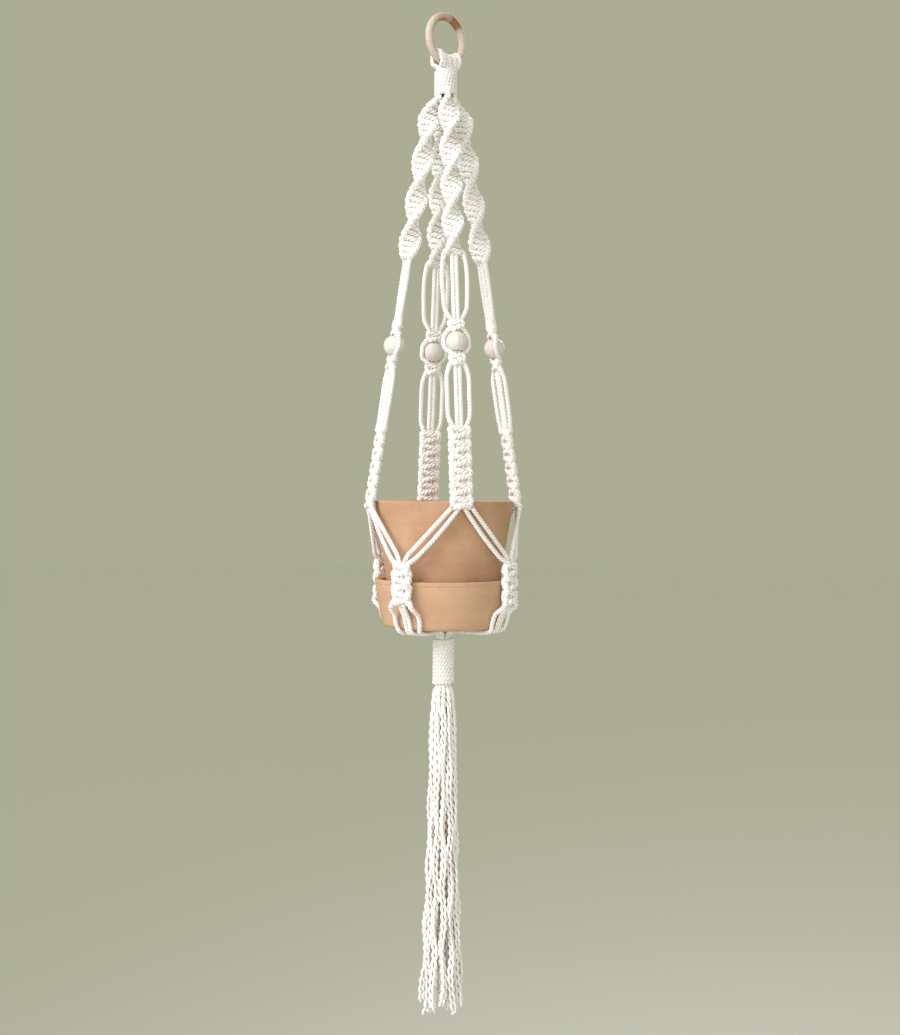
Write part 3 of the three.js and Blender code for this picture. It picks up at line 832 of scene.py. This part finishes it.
def make_arm(place):
    knots = arm_knots()
    sections = [Cords(), Cords(), Cords()]
    lead_in = ((3.5, 0, SPIRAL_TOP + 12), (5.5, 0, SPIRAL_TOP + 3))
    lead_out = ((10.6, 0, FLAT_END + 3),)
    heights = (SPIRAL_END - 1, FLAT_TOP + 2)
    fillers = [(PAIR / 2, 0, SPIRAL_TOP + 14), (PAIR / 2, 0, FLAT_END + 2)]
    for side in (1, -1):
        local = smooth(working_cord(side, knots, lead_in, lead_out))
        add_in_sections(sections, local, place, heights, 0.5 * side, widths_at(local, ARM_WIDTHS))
        straight = smooth([(side * u, v, z) for u, v, z in fillers])
        add_in_sections(
            sections, straight, place, heights, 0.9 * side, widths_at(straight, FILLER_WIDTHS)
        )
    names = ("spiral_of_half_knots", "bead_cage", "flat_of_square_knots")
    nodes = (
        (f"spiral_sennit_{place}",),
        (f"filler_pair_{place}", f"bead_cords_{place}"),
        (f"flat_sennit_{place}",),
    )
    for name, cords, replaced in zip(names, sections, nodes):
        settle(cords.made(f"{name}_{place}"), "hanger", "cotton_cord", *replaced)


def widths_at(local, stations):
    heights = [-height for height, _ in stations]
    return np.interp(-local[:, 2], heights, [width for _, width in stations])


def add_in_sections(sections, local, place, heights, start, widths):
    rings, along = rope_rings(on_arm(local, place), widths, start)
    for cords, rows in zip(sections, split_rows(local, heights)):
        cords.rings(rings[rows], along[rows])


def make_bead(place):
    """A round bead with a chamfered bore, tilted with its arm."""
    profile = []
    for i in range(25):
        angle = mix(-1.1, 1.1, i / 24)
        profile.append((BEAD_RADIUS * math.cos(angle), BEAD_RADIUS * math.sin(angle)))
    end = profile[-1]
    profile += [(BEAD_BORE + 0.15, end[1] + 0.1), (BEAD_BORE, end[1] - 0.7)]
    profile += [(BEAD_BORE, 0.7 - end[1]), (BEAD_BORE + 0.15, -end[1] - 0.1)]
    bead = turned(f"wooden_bead_{place}", profile, MATERIALS["bead_wood"], 48)
    lean = np.array([0, -(arm_reach(BEAD_Z + 1) - arm_reach(BEAD_Z - 1)), 2])
    turn = Vector((0, 0, 1)).rotation_difference(Vector(lean))
    bead.data.transform(turn.to_matrix().to_4x4())
    spot = on_arm([(0, 0, BEAD_Z)], place)[0]
    points = np.array([v.co for v in bead.data.vertices]) / MM
    points = turned_about(points, ARM_TURN + 90 * ARMS.index(place)) + spot
    bead.data.vertices.foreach_set("co", (points * MM).astype(np.float32).ravel())
    bead.data.update()
    settle(bead, f"bead_{place}", "bead_wood", f"bead_{place}")


# ---- Net ----
def v_route(side, leave, end_u, end_z, sag, steps=9):
    """From the foot of the neighbouring arm on that side, over the pot, to the top of the net knot. The
    cord hangs lower than a straight one by the sag, halfway."""
    quarter = -side * 45
    start = turned_about([(side * leave, -FLAT_REACH, FLAT_END + 2)], quarter)[0]
    end = np.array([-side * end_u, -NET_REACH, end_z])
    points = []
    for i in range(steps):
        t = i / steps
        spot = mix(start, end, t)
        spot[2] -= sag * math.sin(math.pi * t)
        reach = math.hypot(spot[0], spot[1])
        wide = max(reach, pot_reach(spot[2]) + CORD / 2 + 0.5)
        points.append((spot[0] * wide / reach, -spot[1] * wide / reach - NET_REACH, spot[2]))
    return points


NET_WIDTHS = (
    (NET_TOP + 4, CORD),
    (NET_TOP - 4, IN_NET_KNOT),
    (NET_END + 2, IN_NET_KNOT),
    (NET_END - 8, CORD),
)


def net_knots():
    first, last = NET_TOP - 5.5, NET_END + 4.5
    fronts = (1, -1)
    knots = half_knots(first, last, 6, 8.4, 3.6, fronts)
    knots[0].width = 7.2
    return knots


def under_saucer(side_u, low_u, bulge):
    """Down the saucer's wall, round its lower edge and in under its foot to the gathering wrap."""
    edge = SAUCER_FOOT_ROUNDING
    turn_z = SAUCER_FOOT_Z + edge
    arc = edge + CORD / 2 + 0.5
    inner = SAUCER_FOOT - edge
    wall_z = mix(NET_END, turn_z, 0.5)
    return [
        (side_u, saucer_reach(wall_z) + CORD / 2 + 1.6 + bulge - NET_REACH, wall_z),
        (side_u + 0.4, inner + arc + 0.6 - NET_REACH, turn_z + 1),
        (mix(side_u, low_u, 0.2), inner + arc * 0.72 - NET_REACH, turn_z - arc * 0.72),
        (mix(side_u, low_u, 0.3), inner - 2 - NET_REACH, BASE_Z),
        (mix(side_u, low_u, 0.6), 30 - NET_REACH, BASE_Z - 0.3),
        (low_u, 13.5 - NET_REACH, BASE_Z - 1.2),
        (0.75 * low_u, 8.5 - NET_REACH, BASE_Z - 5),
        (0.62 * low_u, 6.6 - NET_REACH, WRAP_TOP - 3),
        (0.55 * low_u, 6.0 - NET_REACH, WRAP_TOP - 14),
    ]


def make_corner(place):
    sections = [Cords(), Cords(), Cords()]
    heights = (NET_TOP + 1.5, NET_END - 2)
    knots = net_knots()
    for side in (1, -1):
        lead = [(u * -side, v, z) for u, v, z in v_route(side, 2.9, 11.5, NET_TOP - 2, 3.0)]
        foot = [(14.2, 0.5, NET_END - 3)] + under_saucer(16.2, 5.4, 0)
        working = smooth(working_cord(-side, knots, lead, foot))
        add_corner(sections, working, place, heights, 0.4 * side, widths_at(working, NET_WIDTHS))
        filler = list(v_route(side, 12.2, PAIR / 2, NET_TOP + 2, 0.0))
        filler += [(-side * PAIR / 2, 0, NET_TOP - 4), (-side * PAIR / 2, 0, NET_END + 2)]
        filler += [(-side * u, v, z) for u, v, z in under_saucer(PAIR / 2, PAIR / 2, 1.2)]
        add_corner(sections, smooth(filler), place, heights, 1.1 * side, CORD)
    names = ("net_cord_pairs", "net_square_knots", "cords_under_saucer")
    nodes = ("net_cords", "net_knot", "base_cords")
    for name, cords, node in zip(names, sections, nodes):
        piece = cords.made(f"{name}_{place}")
        if node == "base_cords":
            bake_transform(piece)
            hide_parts(f"{node}_{place}")
        else:
            settle(piece, "hanger", "cotton_cord", f"{node}_{place}")


def add_corner(sections, local, place, heights, start, widths):
    rings, along = rope_rings(on_corner(local, place), widths, start)
    for cords, rows in zip(sections, split_rows(local, heights)):
        cords.rings(rings[rows], along[rows])


# ---- Pot and saucer ----
def make_pot():
    rim, foot, wall, floor_z = POT_RIM, POT_FOOT, 6.0, POT_FOOT_Z + 8
    drain = 9.0
    profile = rounded(
        [
            (drain, POT_FOOT_Z, 1.2),
            (foot, POT_FOOT_Z, 2.2),
            (rim, POT_RIM_Z, 1.9),
            (rim - wall, POT_RIM_Z, 1.9),
            (pot_reach(floor_z) - wall, floor_z, 4.0),
            (drain, floor_z, 1.2),
        ]
    )
    pot = turned("terracotta_pot", profile, MATERIALS["terracotta"], 128)
    settle(pot, "pot", "terracotta", "pot")


def make_saucer():
    """The deep saucer, with a faint groove under its rim and a closed foot."""
    rim, foot, wall, floor_z = SAUCER_RIM, SAUCER_FOOT, 5.0, SAUCER_FOOT_Z + 6
    groove_z = SAUCER_RIM_Z - 6
    profile = rounded(
        [
            (0, SAUCER_FOOT_Z, 0),
            (foot, SAUCER_FOOT_Z, SAUCER_FOOT_ROUNDING),
            (saucer_reach(groove_z - 1), groove_z - 1, 0.5),
            (saucer_reach(groove_z) - 0.55, groove_z, 0.5),
            (saucer_reach(groove_z + 1), groove_z + 1, 0.5),
            (rim, SAUCER_RIM_Z, 1.7),
            (rim - wall, SAUCER_RIM_Z, 1.7),
            (saucer_reach(floor_z) - wall, floor_z, 4.0),
            (0, floor_z, 0),
        ]
    )
    saucer = turned("terracotta_saucer", profile, MATERIALS["saucer_terracotta"], 128)
    settle(saucer, "saucer", "terracotta", "saucer")


# ---- Tassel ----
# Each strand's direction in degrees, its distance from the axis at the top and at the tip, in widths of a
# strand, the height that it reaches below the wrap, and where in its wave it starts, in degrees, as in the
# CAD source.
TASSEL_STRANDS = (
    (10, 0.85, 1.8, 384, 0),
    (82, 0.85, 1.7, 378, 140),
    (154, 0.85, 1.9, 389, 60),
    (226, 0.85, 1.8, 376, 130),
    (298, 0.85, 1.7, 386, 190),
    (0, 1.8, 3.4, 379, 30),
    (33, 1.8, 3.7, 387, 200),
    (65, 1.8, 3.3, 375, 90),
    (98, 1.8, 3.5, 383, 310),
    (131, 1.8, 3.8, 377, 150),
    (164, 1.8, 3.4, 388, 20),
    (196, 1.8, 3.7, 381, 240),
    (229, 1.8, 3.3, 374, 120),
    (262, 1.8, 3.5, 385, 330),
    (295, 1.8, 3.4, 378, 70),
    (327, 1.8, 3.7, 382, 280),
)
STRAND_PITCH = 6.3  # width of a strand and the air beside it, at the top of the tassel
WAVE_LENGTH = 74
WAVE_HEIGHT = 1.6
SLACK_LENGTH = 190  # length over which the waves grow to their full height
UNLAID = 45  # length below the wrap over which the plies of a strand come apart
CRIMP = 10.5  # length of one crimp that the lay has left in a ply


def strand_route(direction, top_widths, tip_widths, length, phase):
    stations = 16
    points = []
    for i in range(stations + 1):
        down = length * i / stations
        free = min(1, down / SLACK_LENGTH)
        spread = mix(down / length, (down / length) ** 4, 0.4)
        reach = STRAND_PITCH * mix(top_widths, tip_widths, spread)
        wave = math.radians(phase) + TAU * down / WAVE_LENGTH
        out = reach + WAVE_HEIGHT * free * math.sin(wave)
        aside = WAVE_HEIGHT * free * math.cos(wave)
        points.append((out, aside, TASSEL_TOP - down))
    return turned_about(points, direction)


def ply_tubes(cords, path, seed):
    """Three plies, laid together at the wrap, that come apart and hang side by side with crimps left in
    them. Their cut ends lie at different heights."""
    along = lengths_along(path)
    normals, binormals = frames_along(path)
    apart = np.clip((along - 12) / UNLAID, 0, 1)
    at_tip = np.clip(1 - (along[-1] - along) / 30, 0, 1)
    rate = TAU / LAY * (1 - apart) ** 2 + 0.02 * np.sin(along / 37 + seed)
    turn = np.concatenate([[0], np.cumsum(rate[1:] * np.diff(along))])
    offset = 1.42 + 0.85 * apart + 0.4 * at_tip
    width = 1.34 + 0.5 * apart - 0.3 * at_tip
    for ply in range(3):
        angle = ply * TAU / 3 - turn + seed
        crimp = -TAU * along / CRIMP + 2.4 * ply + seed
        bend = 0.7 * apart
        line = (
            path
            + (offset * np.cos(angle) + bend * np.cos(crimp))[:, None] * normals
            + (offset * np.sin(angle) + bend * np.sin(crimp))[:, None] * binormals
        )
        rows = len(line) - int(ply * (1 + seed % 4))
        cords.rings(*round_rings(line[:rows], width[:rows]))


def round_rings(path, radius, sides=8):
    along = lengths_along(path)
    normals, binormals = frames_along(path)
    angles = np.arange(sides) * TAU / sides
    reach = np.broadcast_to(radius, along.shape)[:, None]
    rings = (
        path[:, None, :]
        + (reach * np.cos(angles))[:, :, None] * normals[:, None, :]
        + (reach * np.sin(angles))[:, :, None] * binormals[:, None, :]
    )
    return rings, along


def make_tassel():
    for i, strand in enumerate(TASSEL_STRANDS):
        route = strand_route(*strand)
        inside = route[0] * np.array([0.55, 0.55, 1]) + np.array([0, 0, 12])
        leaving = route[0] * np.array([0.66, 0.66, 1]) + np.array([0, 0, 3])
        route[0] *= np.array([0.84, 0.84, 1])
        path = smooth(np.vstack([[inside], [leaving], route]))
        cords = Cords()
        ply_tubes(cords, path, 2.3 * i)
        piece = cords.made(f"tassel_cord_{i + 1:02d}", "unlaid_cotton")
        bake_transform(piece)
        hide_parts(f"tassel_strand_{i + 1:02d}")


def make_bottom_strands():
    """The strands inside the bottom wrap, which show only at its two ends."""
    cords = Cords()
    for ring_radius, count in ((3.0, 4), (7.0, 10)):
        for i in range(count):
            angle = TAU * i / count
            x, y = ring_radius * math.cos(angle), ring_radius * math.sin(angle)
            cords.cord(smooth([(x, y, WRAP_TOP - 6), (x, y, WRAP_END - 1.5)], 4), 4.6, i)
    settle(cords.made("strands_in_bottom_wrap"), "gather", "cotton_cord", "bottom_strands")


# ---- The whole planter ----
make_camera()
MATERIALS = {
    "cotton_cord": cotton("cotton_cord", laid=True),
    "unlaid_cotton": cotton("unlaid_cotton", laid=False),
    "beech": beech(),
    "bead_wood": bead_wood(),
    "terracotta": terracotta("terracotta", (0.57, 0.36, 0.235, 1), (0.44, 0.24, 0.135, 1)),
    "saucer_terracotta": terracotta(
        "saucer_terracotta", (0.62, 0.41, 0.265, 1), (0.52, 0.31, 0.185, 1)
    ),
}
make_tassel()
make_ring()
make_loops()
make_wraps()
make_bottom_strands()
for arm in ARMS:
    make_arm(arm)
    make_bead(arm)
for corner in CORNERS:
    make_corner(corner)
make_pot()
make_saucer()
make_floor()
make_world()
make_lights()
